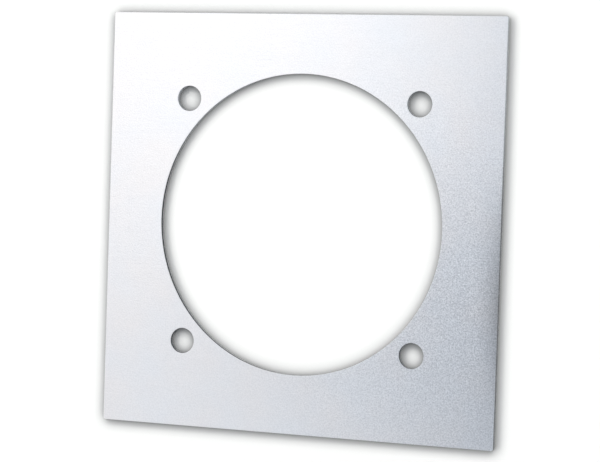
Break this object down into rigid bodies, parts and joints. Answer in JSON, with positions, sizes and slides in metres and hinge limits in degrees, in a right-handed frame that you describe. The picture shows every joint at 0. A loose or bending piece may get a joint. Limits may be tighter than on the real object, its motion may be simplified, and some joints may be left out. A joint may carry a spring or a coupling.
{
  "type": "square cover plate",
  "caption": "Flat square steel cover plate with a large round opening in the middle and bolt holes on a square pattern round it, zinc plated.",
  "frame": {"origin": "on the axis of the round opening, at the back face", "axes": "+Z out of the front face, along the opening's axis; +X along the width; +Y along the height"},
  "size_m": [0.1524, 0.1524, 0.0019],
  "materials": {
    "zinc_plated_steel": "matt clear zinc plating"
  },
  "bodies": {
    "root": {"cover_plate": "zinc_plated_steel"}
  },
  "joints": []
}
